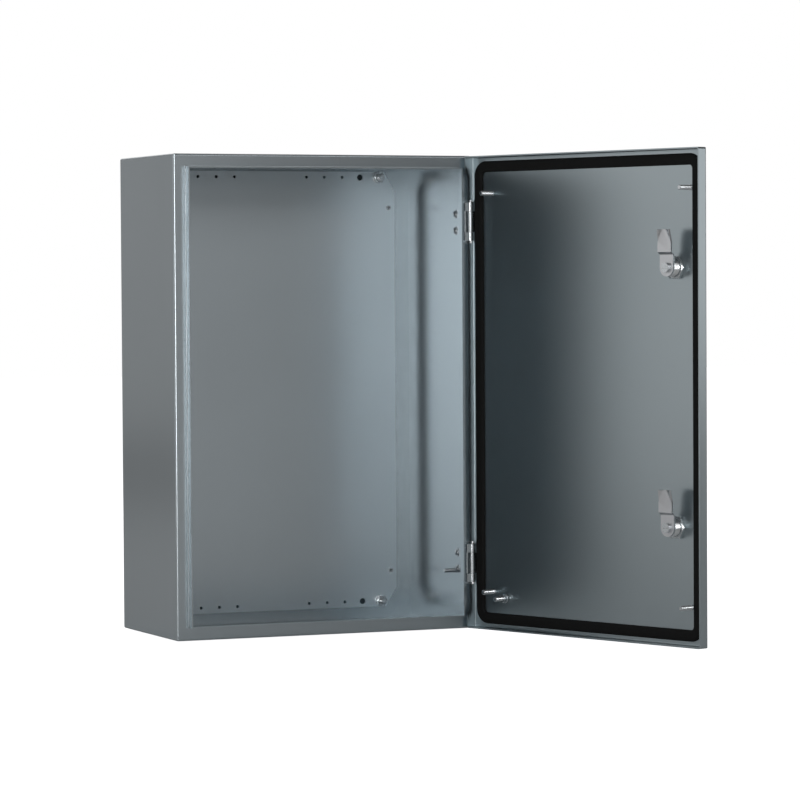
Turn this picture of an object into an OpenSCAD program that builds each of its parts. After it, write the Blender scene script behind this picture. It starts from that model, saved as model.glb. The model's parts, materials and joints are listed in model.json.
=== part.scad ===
// Wall-mounted sheet steel enclosure with a mounting plate and a hinged door.
// X runs to the right, Z up, and the front faces -Y. The origin is the centre
// of the four wall-fixing holes, on the rear face that lies against the wall.

/* [Body] */
// Width of the body
body_w = 400; // [300:5:600]
// Height of the body
body_h = 600; // [500:5:900]
// Depth of the body, from the rear face to the front flange
body_d = 200; // [120:5:300]
// Thickness of the body's sheet
sheet_t = 1.5; // [1.2:0.1:1.6]
// Outer radius of the body's folds
bend_r = 2.5; // [2:0.1:3]
// Width of the front flange, up to the lip's outer face
flange_w = 16; // [15:0.5:20]
// Height of the lip in front of the flange
lip_h = 10.5; // [9:0.5:11]
// Width of the seam left at each mitred corner of the flange
seam_w = 0.4; // [0.2:0.1:0.6]

/* [Wall fixing] */
// Distance from the body's side face in to a wall-fixing hole
wall_fix_side = 35; // [20:1:60]
// Distance from the body's end in to a wall-fixing hole
wall_fix_end = 25; // [20:1:60]
// Diameter of a wall-fixing hole
wall_fix_d = 8.5; // [6:0.5:10]

/* [Mounting plate] */
// Clear distance between the mounting plate and a side wall
plate_side_gap = 25; // [20:0.5:40]
// Clear distance between the mounting plate and the top or bottom wall
plate_end_gap = 13.5; // [5:0.5:30]
// Thickness of the mounting plate
plate_t = 2; // [1.5:0.5:3]
// Clear distance between the mounting plate and the rear panel
plate_gap = 10.5; // [8:0.5:20]
// Width of the cut at each corner of the plate
plate_cut_w = 15; // [5:1:20]
// Height of the cut at each corner of the plate
plate_cut_h = 25; // [5:1:30]
// Distance from the plate's side in to its fixings
plate_fix_side = 23.5; // [23:0.5:35]
// Distance from the plate's end in to its fixings, and to its rows of holes
plate_fix_end = 7.5; // [7.5:0.5:15]
// Distance between two holes of a row, counted in from the fixing
row_pitch = 25; // [15:1:25]
// Number of small holes on each side of a row
row_count = 3; // [1:1:3]
// Diameter of a small hole
row_hole_d = 4; // [3:0.5:6]
// Diameter of the large hole at each end of a row
row_end_d = 8; // [6:0.5:10]
// Distance from the plate's side in to the threaded inserts
insert_side = 8.5; // [6:0.5:15]
// Distance from the plate's end in to the threaded inserts
insert_end = 47; // [40:1:80]
// Diameter of an insert's flange
insert_flange_d = 7; // [6:0.5:9]
// Diameter of an insert's body
insert_body_d = 5; // [4.5:0.1:5.5]
// Diameter of an insert's threaded bore
insert_bore_d = 3.3; // [3:0.1:3.5]
// Depth of an insert, behind its flange
insert_l = 6; // [3:0.5:7]

/* [Plate fixings] */
// Diameter of a plate stud
plate_stud_d = 8; // [6:1:8]
// Length of a plate stud
plate_stud_l = 28; // [27:1:40]
// Width across flats of a plate nut
plate_nut_af = 13; // [12:0.5:14]
// Thickness of a plate nut
plate_nut_t = 6.5; // [4:0.5:7]
// Diameter of a plate washer
plate_washer_d = 15; // [14:0.5:15]
// Thickness of a plate washer
plate_washer_t = 1.6; // [1:0.1:2]
// Diameter of a plate spacer
plate_spacer_d = 14; // [12:1:16]

/* [Door] */
// Thickness of the door's sheet
door_t = 1.5; // [1.2:0.1:1.6]
// Outer radius of the door's folds
door_bend_r = 2.5; // [2:0.1:3]
// How much the door is smaller than the body on each side
door_inset = 1; // [0.5:0.1:1.5]
// Clear distance between the closed door's returns and the flange
door_gap = 1.5; // [1:0.1:2]
// Clear distance between the lip and the door's skin, the door being closed
lip_to_skin = 4; // [3.5:0.1:5]
// How far the hinge-side return is cut back
return_cut = 5; // [3:0.5:6]
// Distance from the door's end to the straight part of that cut
return_cut_end = 31; // [28:1:40]
// Radius at each end of that cut
return_cut_r = 20; // [10:1:22]
// Angle at which the door stands open
door_open = 110; // [0:1:130]

/* [Hinges] */
// Distance from the body's end to the middle of a hinge
hinge_end = 83.5; // [80:0.5:120]
// Height of a hinge
hinge_l = 48.5; // [40:0.5:60]
// Height of one ear
hinge_ear_l = 11; // [8:0.5:12]
// Distance from the hinge axis in to the body's side face
hinge_in = 4.5; // [4.3:0.1:4.8]
// Distance from the hinge axis forward of the flange
hinge_out = 8; // [7.8:0.1:8.5]
// Diameter of a knuckle
knuckle_d = 6.4; // [6:0.1:6.4]
// Diameter of a hinge pin
hinge_pin_d = 4; // [3:0.1:4.2]
// Diameter of a hinge pin's head
hinge_head_d = 5.6; // [5:0.1:6]
// Thickness of a hinge pin's head
hinge_head_t = 1.2; // [1:0.1:1.5]
// Radial clearance of the pin in the door's knuckle
hinge_play = 0.05; // [0.02:0.01:0.1]
// Clearance above and below the door's knuckle
hinge_end_play = 0.25; // [0.2:0.05:0.3]
// Thickness of the hinge leaf's sheet
leaf_t = 2; // [1.5:0.5:2]
// Distance from the body's side face in to the leaf's web
web_in = 9.5; // [9:0.1:10]
// Length of the leaf's side plate along the wall
leaf_l = 30; // [20:1:32]
// Width of the door's knuckle foot
foot_w = 3.5; // [3:0.1:3.5]
// Radial clearance between a fastener and the piece it is threaded or pressed into
thread_play = 0.03; // [0.01:0.01:0.05]
// Clearance between the hinge and the edges cut away for it
hinge_notch = 3; // [2:0.5:5]
// Distance from the flange's front face to the leaf's fixings
leaf_fix_in = 41; // [38:0.5:45]
// Distance between a leaf's two fixings
leaf_fix_gap = 21; // [18:0.5:24]
// Diameter of a leaf fixing's shank
leaf_shank_d = 6; // [5:0.5:6]
// Diameter of a leaf fixing's washer
leaf_washer_d = 11; // [10:0.5:12]
// Thickness of a leaf fixing's washer
leaf_washer_t = 0.8; // [0.5:0.1:1]
// Diameter of a leaf fixing's domed head
leaf_head_d = 9; // [8:0.5:10]
// Height of a leaf fixing's domed head
leaf_head_h = 2.4; // [1.5:0.1:3]

/* [Gasket] */
// Distance from the door's edge to the gasket's outer side
gasket_in = 6.5; // [6:0.1:7]
// Width of the gasket
gasket_w = 14; // [12:0.5:14]
// Clearance between the gasket and the lip
gasket_clear = 0.3; // [0.2:0.1:0.5]
// Outer corner radius of the gasket
gasket_r = 19; // [15:1:25]

/* [Studs] */
// Diameter of the small studs
stud_d = 6; // [4:1:6]
// Diameter of a small stud's weld foot
stud_foot_d = 7.5; // [7:0.5:8]
// Height of a small stud's weld foot
stud_foot_h = 1; // [0.5:0.1:1.5]
// Length of a door stud
door_stud_l = 20; // [10:1:20]
// Distance from the door's hinge edge in to the studs on that side
door_stud_hinge_in = 36; // [34:1:50]
// Distance from the door's free edge in to the studs on that side
door_stud_free_in = 25; // [25:1:50]
// Distance from the door's end in to the door studs
door_stud_end = 47.5; // [45:0.5:70]
// Distance from the door's hinge edge in to its earth stud
door_earth_in = 57; // [50:1:80]
// Distance from the door's lower end up to its earth stud
door_earth_up = 40; // [30:1:60]
// Width across flats of the earth nut
earth_nut_af = 10; // [9:0.5:11]
// Thickness of the earth nut
earth_nut_t = 5; // [3:0.5:6]
// Diameter of the earth washer
earth_washer_d = 12; // [11:0.5:14]
// Thickness of the earth washer
earth_washer_t = 1.2; // [1:0.1:2]
// Length of the body's earth stud
body_earth_l = 15; // [10:1:20]
// Distance from the flange's front face to the body's earth stud
body_earth_in = 54; // [50:0.5:70]
// Distance from the body's bottom face up to its earth stud
body_earth_up = 70; // [40:1:150]

/* [Locks] */
// Distance from the door's free edge in to a lock's axis
lock_in = 48; // [48:1:60]
// Distance from the door's end in to a lock's axis
lock_end = 143; // [110:1:180]
// Diameter of a lock housing's threaded shank
lock_shank_d = 22; // [20:0.5:22]
// Height of the shank above the skin, inside
lock_shank_h = 15; // [12:0.5:15]
// Diameter of a lock housing's outer head
lock_head_d = 30; // [28:1:34]
// Thickness of a lock housing's outer head
lock_head_t = 4; // [3:0.5:6]
// Thickness of the flat seal under the head
lock_seal_t = 1; // [0.5:0.1:2]
// Diameter of a lock's rotor
rotor_d = 15; // [12:0.5:16]
// Diameter of the rotor's shoulder, which the housing's head holds
rotor_shoulder_d = 19; // [18:0.5:20]
// Thickness of the rotor's shoulder
rotor_shoulder_t = 2; // [1.5:0.5:2.5]
// Radial clearance of a rotor in its housing
rotor_play = 0.05; // [0.02:0.01:0.1]
// Clearance between the moving and the fixed end faces of a lock
lock_end_play = 0.3; // [0.2:0.1:0.5]
// Diameter of the key well in the rotor
key_well_d = 11; // [9:0.5:12]
// Depth of the key well
key_well_h = 7; // [4:0.5:8]
// Diameter of the core in the key well
key_core_d = 5; // [4:0.5:5]
// Width of the two bits on the core
key_bit_w = 2; // [1.5:0.1:2.5]
// Length over the two bits
key_bit_l = 9; // [8:0.5:9]
// Width across flats of a lock nut
lock_nut_af = 26.5; // [26:0.5:28]
// Thickness of a lock nut
lock_nut_t = 5.5; // [4:0.5:6]
// Diameter of a lock washer
lock_washer_d = 25; // [24:0.5:28]
// Thickness of a lock washer
lock_washer_t = 1.2; // [1:0.1:2]
// Width of a cam
cam_w = 21.5; // [18:0.5:22]
// Thickness of a cam
cam_t = 2.5; // [2:0.5:3]
// Reach of a cam, from the lock's axis
cam_reach = 46; // [40:0.5:46]
// Distance from the lock's axis to the cam's bend
cam_bend = 15.5; // [14:0.5:20]
// Height of the step in a cam
cam_step = 4; // [2:0.5:5]
// Length of the sloping part of a cam
cam_slope_l = 3; // [2:0.5:6]
// Length of the two corners of a cam's tip that are bent away from the flange
cam_lead_l = 15; // [10:0.5:18]
// Width of each bent corner at the end of the tip
cam_lead_w = 8.5; // [5:0.5:8.5]
// Rise of each bent corner
cam_lead_h = 3; // [1:0.5:3]
// Side of the square that turns a cam
cam_square = 9; // [8:0.5:10]
// Diameter of a cam screw's shank
cam_screw_d = 5; // [4:0.5:6]
// Length of a cam screw's shank
cam_screw_l = 9; // [6:0.5:9]
// Diameter of a cam screw's head
cam_head_d = 12; // [11:0.5:13]
// Height of a cam screw's head
cam_head_h = 3.6; // [3:0.1:4]
// Width of the slot in a cam screw's head
cam_slot_w = 1.6; // [1:0.1:2]
// Depth of the slot in a cam screw's head
cam_slot_h = 1.8; // [1:0.1:2]

/* [Hidden] */
$fn = 64;
// How far a cut runs past the surface it opens
over = 1;

// Body: the faces that other pieces sit on
half_w = body_w / 2;
half_h = body_h / 2;
wall_fix_w = body_w - 2 * wall_fix_side;
wall_fix_h = body_h - 2 * wall_fix_end;
wall_x = half_w - sheet_t;
front_y = -body_d;
flange_back_y = front_y + sheet_t;
lip_y = front_y - lip_h;
bend_in_r = bend_r - sheet_t;
seam_depth = sheet_t / 5;

// Mounting plate, from the rear panel forward
rear_face_y = -sheet_t;
plate_back_y = rear_face_y - plate_gap;
plate_front_y = plate_back_y - plate_t;
plate_washer_y = plate_front_y - plate_washer_t;
plate_half_w = wall_x - plate_side_gap;
plate_half_h = half_h - sheet_t - plate_end_gap;
plate_fix_w = 2 * (plate_half_w - plate_fix_side);
plate_fix_h = 2 * (plate_half_h - plate_fix_end);
insert_span_w = 2 * (plate_half_w - insert_side);
insert_span_h = 2 * (plate_half_h - insert_end);
insert_flange_t = 0.8;
stud_hole_play = 0.5;
spacer_play = 0.1;

// Door: closed, its skin lies in front of the lip and its returns in front of the flange
door_half_w = half_w - door_inset;
door_half_h = half_h - door_inset;
skin_y = lip_y - lip_to_skin;
door_front_y = skin_y - door_t;
return_y = front_y - door_gap;
hinge_return_y = return_y - return_cut;
gasket_h = lip_to_skin - gasket_clear;

// Hinges
axis_x = half_w - hinge_in;
axis_y = front_y - hinge_out;
hinge_z = half_h - hinge_end;
web_x = half_w - web_in;
web_y = axis_y + knuckle_d / 2 - 1;
ear_x = web_x - leaf_t - 1;
ear_front_y = axis_y - 2.2;
slot_play = 0.7;
foot_x = door_half_w - door_bend_r;
knuckle_l = hinge_l - 2 * hinge_ear_l - 2 * hinge_end_play;
notch_y = skin_y + door_t;
fix_y = front_y + leaf_fix_in;

// Studs, from the door's or the body's middle
door_stud_hinge_x = door_half_w - door_stud_hinge_in;
door_stud_free_x = door_half_w - door_stud_free_in;
door_stud_z = door_half_h - door_stud_end;
door_earth_x = door_half_w - door_earth_in;
door_earth_z = door_half_h - door_earth_up;
body_earth_z = half_h - body_earth_up;

// Locks: heights above the inner face of the door's skin
lock_x = door_half_w - lock_in;
lock_z = door_half_h - lock_end;
lock_head_h = -door_t - lock_seal_t - lock_head_t;
cam_h = lock_shank_h + lock_end_play;
cam_top_h = cam_h + cam_t;
lock_hole_play = 0.25;

// Rods and nuts along Y and X, from the first to the second position
module rod_y(d, y0, y1) {
    translate([0, max(y0, y1), 0])
        rotate([90, 0, 0])
            cylinder(d = d, h = abs(y1 - y0));
}

module rod_x(d, x0, x1) {
    translate([min(x0, x1), 0, 0])
        rotate([0, 90, 0])
            cylinder(d = d, h = abs(x1 - x0));
}

module nut_y(af, y0, y1) {
    translate([0, max(y0, y1), 0])
        rotate([90, 0, 0])
            cylinder(d = af / cos(30), h = abs(y1 - y0), $fn = 6);
}

// A bar between two corners, given as low and high coordinates
module bar(low, high) {
    translate(low)
        cube(high - low);
}

// The four positions of a rectangular pattern, in the XZ plane
module at_corners(w, h) {
    for (sx = [-1, 1])
        for (sz = [-1, 1])
            translate([sx * w / 2, 0, sz * h / 2])
                children();
}

// A rectangle with rounded corners, standing in the XZ plane and extruded from y0 to y1
module upright_slab(w, h, y0, y1, r) {
    translate([0, y1, 0])
        rotate([90, 0, 0])
            linear_extrude(y1 - y0)
                rounded_rect(w, h, r);
}

module rounded_rect(w, h, r) {
    square([w - 2 * r, h], center = true);
    square([w, h - 2 * r], center = true);
    for (sx = [-1, 1])
        for (sy = [-1, 1])
            translate([sx * (w / 2 - r), sy * (h / 2 - r)])
                circle(r);
}

// A side view of a block whose two front corners are rounded, front at y0
module rounded_front(w, y0, y1, r) {
    translate([-w / 2, y0 + r])
        square([w, y1 - y0 - r]);
    translate([-w / 2 + r, y0])
        square([w - 2 * r, y1 - y0]);
    for (s = [-1, 1])
        translate([s * (w / 2 - r), y0 + r])
            circle(r);
}

// A block with rounded front edges and rounded edges along its depth
module folded_block(w, h, y0, y1, r) {
    intersection() {
        upright_slab(w, h, y0, y1, r);
        translate([0, 0, -h / 2])
            linear_extrude(h)
                rounded_front(w, y0, y1, r);
        translate([-w / 2, 0, 0])
            rotate([90, 0, 90])
                linear_extrude(w)
                    rotate(90)
                        mirror([0, 1])
                            rounded_front(h, y0, y1, r);
    }
}

// A rectangular ring round the opening, between two distances in from the body's outline
module frame_ring(far, near, y0, y1) {
    difference() {
        bar([near - half_w, y0, near - half_h], [half_w - near, y1, half_h - near]);
        bar([far - half_w, y0 - over, far - half_h], [half_w - far, y1 + over, half_h - far]);
    }
}

// Rods along all four sides, at one distance in from the body's outline
module frame_rods(inset, y, r) {
    for (s = [-1, 1]) {
        translate([s * (half_w - inset), y, -half_h])
            cylinder(r = r, h = body_h);
        translate([-half_w, y, s * (half_h - inset)])
            rotate([0, 90, 0])
                cylinder(r = r, h = body_w);
    }
}

// What turns with the door is built closed and turned about the hinge axis
module in_door() {
    translate([axis_x, axis_y, 0])
        rotate([0, 0, door_open])
            translate([-axis_x, -axis_y, 0])
                children();
}

// A point on the inner face of the door's skin, with Y pointing into the case
module on_skin(x, z) {
    in_door()
        translate([x, skin_y, z])
            children();
}

// Walls, flange and lip, folded and welded: the lip stands on the flange's inner edge
module body_shell() {
    color("#8f9a9f")
        difference() {
            union() {
                difference() {
                    folded_block(body_w, body_h, front_y, 0, bend_r);
                    folded_block(
                        body_w - 2 * sheet_t, body_h - 2 * sheet_t,
                        flange_back_y, over, bend_in_r
                    );
                    bar(
                        [flange_w - half_w, front_y - over, flange_w - half_h],
                        [half_w - flange_w, flange_back_y + over, half_h - flange_w]
                    );
                }
                frame_ring(flange_w + sheet_t, flange_w, lip_y, flange_back_y);
                // The inside radius of the fold between flange and lip
                difference() {
                    frame_ring(flange_w, flange_w - bend_in_r, front_y - bend_in_r, front_y);
                    frame_rods(flange_w - bend_in_r, front_y - bend_in_r, bend_in_r);
                }
            }
            // The outside radius of the same fold
            difference() {
                frame_ring(
                    flange_w + sheet_t + over, flange_w - bend_in_r,
                    front_y - bend_in_r, flange_back_y + over
                );
                frame_ring(
                    flange_w + sheet_t + 2 * over, flange_w + sheet_t,
                    front_y - bend_in_r - over, flange_back_y + 2 * over
                );
                frame_ring(
                    flange_w + sheet_t, flange_w - bend_in_r - over,
                    flange_back_y, flange_back_y + 2 * over
                );
                frame_rods(flange_w - bend_in_r, front_y - bend_in_r, bend_r);
            }
            flange_seams();
            for (s = [-1, 1])
                hinge_slot(s * hinge_z);
        }
}

// Shallow grooves along the mitres of the flange
module flange_seams() {
    for (sx = [-1, 1])
        for (sz = [-1, 1])
            translate([sx * half_w, front_y, sz * half_h])
                rotate([0, sx * sz * 45, 0])
                    bar(
                        [-flange_w * 1.5, -over, -seam_w / 2],
                        [flange_w * 1.5, seam_depth, seam_w / 2]
                    );
}

// Slot in the flange for the hinge leaf's web
module hinge_slot(z) {
    bar(
        [web_x - leaf_t - slot_play, front_y - over, z - hinge_l / 2 - slot_play],
        [web_x + slot_play, flange_back_y + over, z + hinge_l / 2 + slot_play]
    );
}

// Rear panel, welded in between the walls
module rear_panel() {
    color("#8b9599")
        difference() {
            upright_slab(
                body_w - 2 * sheet_t, body_h - 2 * sheet_t,
                rear_face_y, 0, bend_in_r
            );
            at_corners(wall_fix_w, wall_fix_h)
                rod_y(wall_fix_d, rear_face_y - over, over);
        }
}

module mounting_plate() {
    hw = plate_half_w;
    hh = plate_half_h;
    color("#848e93")
        difference() {
            translate([0, plate_back_y, 0])
                rotate([90, 0, 0])
                    linear_extrude(plate_t)
                        polygon([
                            [hw - plate_cut_w, hh], [hw, hh - plate_cut_h],
                            [hw, plate_cut_h - hh], [hw - plate_cut_w, -hh],
                            [plate_cut_w - hw, -hh], [-hw, plate_cut_h - hh],
                            [-hw, hh - plate_cut_h], [plate_cut_w - hw, hh]
                        ]);
            at_corners(plate_fix_w, plate_fix_h)
                plate_hole(plate_stud_d + 2 * stud_hole_play);
            at_corners(plate_fix_w - 2 * row_pitch, plate_fix_h)
                plate_hole(row_end_d);
            for (i = [2 : row_count + 1])
                at_corners(plate_fix_w - 2 * i * row_pitch, plate_fix_h)
                    plate_hole(row_hole_d);
            at_corners(insert_span_w, insert_span_h)
                plate_hole(insert_body_d + 2 * thread_play);
        }
}

module plate_hole(d) {
    rod_y(d, plate_front_y - over, plate_back_y + over);
}

// Threaded inserts: a flange on the plate's face and a body through it
module plate_inserts() {
    color("#c9cdd0")
        at_corners(insert_span_w, insert_span_h)
            difference() {
                union() {
                    rod_y(insert_flange_d, plate_front_y - insert_flange_t, plate_front_y);
                    rod_y(insert_body_d, plate_front_y - insert_flange_t, plate_front_y + insert_l);
                }
                rod_y(insert_bore_d, plate_front_y - insert_flange_t - over, plate_front_y + insert_l + over);
            }
}

// Weld studs on the rear panel, which carry the mounting plate
module plate_studs() {
    color("#d4d8da")
        at_corners(plate_fix_w, plate_fix_h)
            rod_y(plate_stud_d, rear_face_y - plate_stud_l, rear_face_y);
}

module plate_spacers() {
    color("#b9bec1")
        at_corners(plate_fix_w, plate_fix_h)
            difference() {
                rod_y(plate_spacer_d, plate_back_y, rear_face_y);
                rod_y(plate_stud_d + 2 * spacer_play, plate_back_y - over, rear_face_y + over);
            }
}

module plate_washers() {
    color("#cdd1d3")
        at_corners(plate_fix_w, plate_fix_h)
            difference() {
                rod_y(plate_washer_d, plate_washer_y, plate_front_y);
                rod_y(plate_stud_d + 2 * spacer_play, plate_washer_y - over, plate_front_y + over);
            }
}

module plate_nuts() {
    color("#d4d8da")
        at_corners(plate_fix_w, plate_fix_h)
            difference() {
                nut_y(plate_nut_af, plate_washer_y - plate_nut_t, plate_washer_y);
                rod_y(
                    plate_stud_d + 2 * thread_play,
                    plate_washer_y - plate_nut_t - over, plate_washer_y + over
                );
            }
}

// A stud with its weld foot, standing on the plane y = 0 and pointing along +Y
module weld_stud(l) {
    rod_y(stud_d, 0, l);
    rod_y(stud_foot_d, 0, stud_foot_h);
}

module body_earth_stud() {
    color("#d4d8da")
        translate([wall_x, front_y + body_earth_in, -body_earth_z])
            rotate([0, 0, 90])
                weld_stud(body_earth_l);
}

// Body half of a hinge: a plate on the side wall, folded in behind the flange,
// then forward through the slot as a web that carries an ear at each end
module hinge_leaf(z) {
    color("#d0d4d6")
        translate([0, 0, z])
            difference() {
                union() {
                    bar(
                        [wall_x - leaf_t, flange_back_y + leaf_t, -hinge_l / 2],
                        [wall_x, flange_back_y + leaf_l, hinge_l / 2]
                    );
                    translate([wall_x - leaf_t, flange_back_y + leaf_t, -hinge_l / 2])
                        cylinder(r = leaf_t, h = hinge_l);
                    bar(
                        [web_x - leaf_t, flange_back_y, -hinge_l / 2],
                        [wall_x - leaf_t, flange_back_y + leaf_t, hinge_l / 2]
                    );
                    bar(
                        [web_x - leaf_t, web_y, -hinge_l / 2],
                        [web_x, flange_back_y + leaf_t, hinge_l / 2]
                    );
                    for (s = [-1, 1]) {
                        hinge_ear(s);
                        leaf_lobe(s);
                    }
                }
                translate([axis_x, axis_y, -hinge_l / 2 - over])
                    cylinder(d = hinge_pin_d + 2 * thread_play, h = hinge_l + 2 * over);
                for (s = [-1, 1])
                    translate([0, fix_y, s * leaf_fix_gap / 2])
                        rod_x(leaf_shank_d + 2 * thread_play, wall_x - leaf_t - over, wall_x + over);
            }
}

// Ear at the top or the bottom of a leaf, round the pin
module hinge_ear(s) {
    z0 = s > 0 ? hinge_l / 2 - hinge_ear_l : -hinge_l / 2;
    bar(
        [ear_x, ear_front_y, z0],
        [axis_x, axis_y + knuckle_d / 2, z0 + hinge_ear_l]
    );
    translate([axis_x, axis_y, z0])
        cylinder(d = knuckle_d, h = hinge_ear_l);
}

// Round tab of the leaf's side plate under one fixing
module leaf_lobe(s) {
    translate([0, 0, s * leaf_fix_gap / 2]) {
        bar(
            [wall_x - leaf_t, flange_back_y + leaf_l - over, -leaf_washer_d / 2],
            [wall_x, fix_y, leaf_washer_d / 2]
        );
        translate([0, fix_y, 0])
            rod_x(leaf_washer_d, wall_x - leaf_t, wall_x);
    }
}

module hinge_pin(z) {
    color("#dde0e2")
        translate([axis_x, axis_y, z]) {
            translate([0, 0, -hinge_l / 2])
                cylinder(d = hinge_pin_d, h = hinge_l);
            translate([0, 0, hinge_l / 2])
                cylinder(d = hinge_head_d, h = hinge_head_t);
        }
}

// Domed fixings of the leaves, with their washers
module hinge_fixings() {
    head_x = wall_x - leaf_t - leaf_washer_t;
    // Radius of the sphere that gives the head its dome
    dome_r = (leaf_head_d * leaf_head_d / 4 + leaf_head_h * leaf_head_h) / (2 * leaf_head_h);
    color("#d4d8da")
        for (sz = [-1, 1])
            for (s = [-1, 1])
                translate([0, fix_y, sz * hinge_z + s * leaf_fix_gap / 2]) {
                    rod_x(leaf_shank_d, head_x, wall_x);
                    rod_x(leaf_washer_d, head_x, wall_x - leaf_t);
                    intersection() {
                        translate([head_x - leaf_head_h + dome_r, 0, 0])
                            sphere(dome_r);
                        rod_x(leaf_head_d, head_x - leaf_head_h, head_x);
                    }
                }
}

// Door: skin and four folded returns. The return on the hinge side is cut back
// between the corners, and away altogether at the hinges
module door_panel() {
    cut_z = door_half_h - return_cut_end;
    x0 = door_half_w - door_t - over;
    x1 = door_half_w + over;
    color("#7e898d")
        in_door()
            difference() {
                folded_block(2 * door_half_w, 2 * door_half_h, door_front_y, return_y, door_bend_r);
                folded_block(
                    2 * (door_half_w - door_t), 2 * (door_half_h - door_t),
                    skin_y, return_y + over, door_bend_r - door_t
                );
                bar([x0, hinge_return_y, -cut_z], [x1, return_y + over, cut_z]);
                for (s = [-1, 1]) {
                    translate([0, hinge_return_y + return_cut_r, s * cut_z])
                        rod_x(2 * return_cut_r, x0, x1);
                    bar(
                        [x0, notch_y, s * hinge_z - hinge_l / 2 - hinge_notch],
                        [x1, return_y + over, s * hinge_z + hinge_l / 2 + hinge_notch]
                    );
                    translate([-lock_x, 0, s * lock_z])
                        rod_y(lock_shank_d + 2 * lock_hole_play, door_front_y - over, skin_y + over);
                }
            }
}

module door_gasket() {
    inner_r = gasket_r - gasket_w;
    gw = 2 * (door_half_w - gasket_in);
    gh = 2 * (door_half_h - gasket_in);
    color("#161718")
        in_door()
            difference() {
                upright_slab(gw, gh, skin_y, skin_y + gasket_h, gasket_r);
                upright_slab(
                    gw - 2 * gasket_w, gh - 2 * gasket_w,
                    skin_y - over, skin_y + gasket_h + over, inner_r
                );
            }
}

// Door half of a hinge: a knuckle on a foot that is welded to the skin
module door_knuckle(z) {
    color("#d6dadc")
        in_door()
            translate([0, 0, z])
                difference() {
                    union() {
                        bar(
                            [foot_x - foot_w, skin_y, -knuckle_l / 2],
                            [foot_x, axis_y, knuckle_l / 2]
                        );
                        translate([axis_x, axis_y, -knuckle_l / 2])
                            cylinder(d = knuckle_d, h = knuckle_l);
                    }
                    translate([axis_x, axis_y, -knuckle_l / 2 - over])
                        cylinder(d = hinge_pin_d + 2 * hinge_play, h = knuckle_l + 2 * over);
                }
}

module door_studs() {
    color("#d4d8da")
        for (x = [door_stud_hinge_x, -door_stud_free_x])
            for (s = [-1, 1])
                on_skin(x, s * door_stud_z)
                    weld_stud(door_stud_l);
}

module door_earth_stud() {
    color("#d4d8da")
        on_skin(door_earth_x, -door_earth_z)
            weld_stud(door_stud_l);
}

module door_earth_washer() {
    color("#cdd1d3")
        on_skin(door_earth_x, -door_earth_z)
            difference() {
                rod_y(earth_washer_d, stud_foot_h, stud_foot_h + earth_washer_t);
                rod_y(stud_d + 2 * thread_play, stud_foot_h - over, stud_foot_h + earth_washer_t + over);
            }
}

module door_earth_nut() {
    y0 = stud_foot_h + earth_washer_t;
    color("#d4d8da")
        on_skin(door_earth_x, -door_earth_z)
            difference() {
                nut_y(earth_nut_af, y0, y0 + earth_nut_t);
                rod_y(stud_d + 2 * thread_play, y0 - over, y0 + earth_nut_t + over);
            }
}

// Lock housing: an outer head and a threaded shank through the skin
module lock_housing(s) {
    color("#c6cacd")
        on_skin(-lock_x, s * lock_z)
            difference() {
                union() {
                    rod_y(lock_head_d, lock_head_h, lock_head_h + lock_head_t);
                    rod_y(lock_shank_d, lock_head_h, lock_shank_h);
                }
                rod_y(rotor_d + 2 * rotor_play, lock_head_h - over, lock_shank_h + over);
                rod_y(
                    rotor_shoulder_d + 2 * rotor_play,
                    lock_head_h - over, lock_head_h + rotor_shoulder_t + lock_end_play
                );
            }
}

module lock_seal(s) {
    color("#1b1c1d")
        on_skin(-lock_x, s * lock_z)
            difference() {
                rod_y(lock_head_d, -door_t - lock_seal_t, -door_t);
                rod_y(lock_shank_d + 2 * thread_play, -door_t - lock_seal_t - over, over);
            }
}

module lock_nut(s) {
    color("#d8dbdd")
        on_skin(-lock_x, s * lock_z)
            difference() {
                nut_y(lock_nut_af, 0, lock_nut_t);
                rod_y(lock_shank_d + 2 * thread_play, -over, lock_nut_t + over);
            }
}

module lock_washer(s) {
    color("#cdd1d3")
        on_skin(-lock_x, s * lock_z)
            difference() {
                rod_y(lock_washer_d, lock_nut_t, lock_nut_t + lock_washer_t);
                rod_y(lock_shank_d + 2 * thread_play, lock_nut_t - over, lock_nut_t + lock_washer_t + over);
            }
}

// Rotor: a shoulder and the key well outside, a square for the cam inside
module lock_rotor(s) {
    color("#cfd3d5")
        on_skin(-lock_x, s * lock_z) {
            difference() {
                union() {
                    rod_y(rotor_shoulder_d, lock_head_h, lock_head_h + rotor_shoulder_t);
                    rod_y(rotor_d, lock_head_h, cam_h);
                    bar([-cam_square / 2, cam_h, -cam_square / 2], [cam_square / 2, cam_top_h, cam_square / 2]);
                }
                rod_y(key_well_d, lock_head_h - over, lock_head_h + key_well_h);
                rod_y(cam_screw_d + 2 * thread_play, cam_top_h - cam_screw_l - thread_play, cam_top_h + over);
            }
            key_core();
        }
}

// Core with two bits, at the bottom of the key well
module key_core() {
    rod_y(key_core_d, lock_head_h + over, lock_head_h + key_well_h);
    bar(
        [-key_bit_l / 2, lock_head_h + over, -key_bit_w / 2],
        [key_bit_l / 2, lock_head_h + key_well_h, key_bit_w / 2]
    );
}

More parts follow.
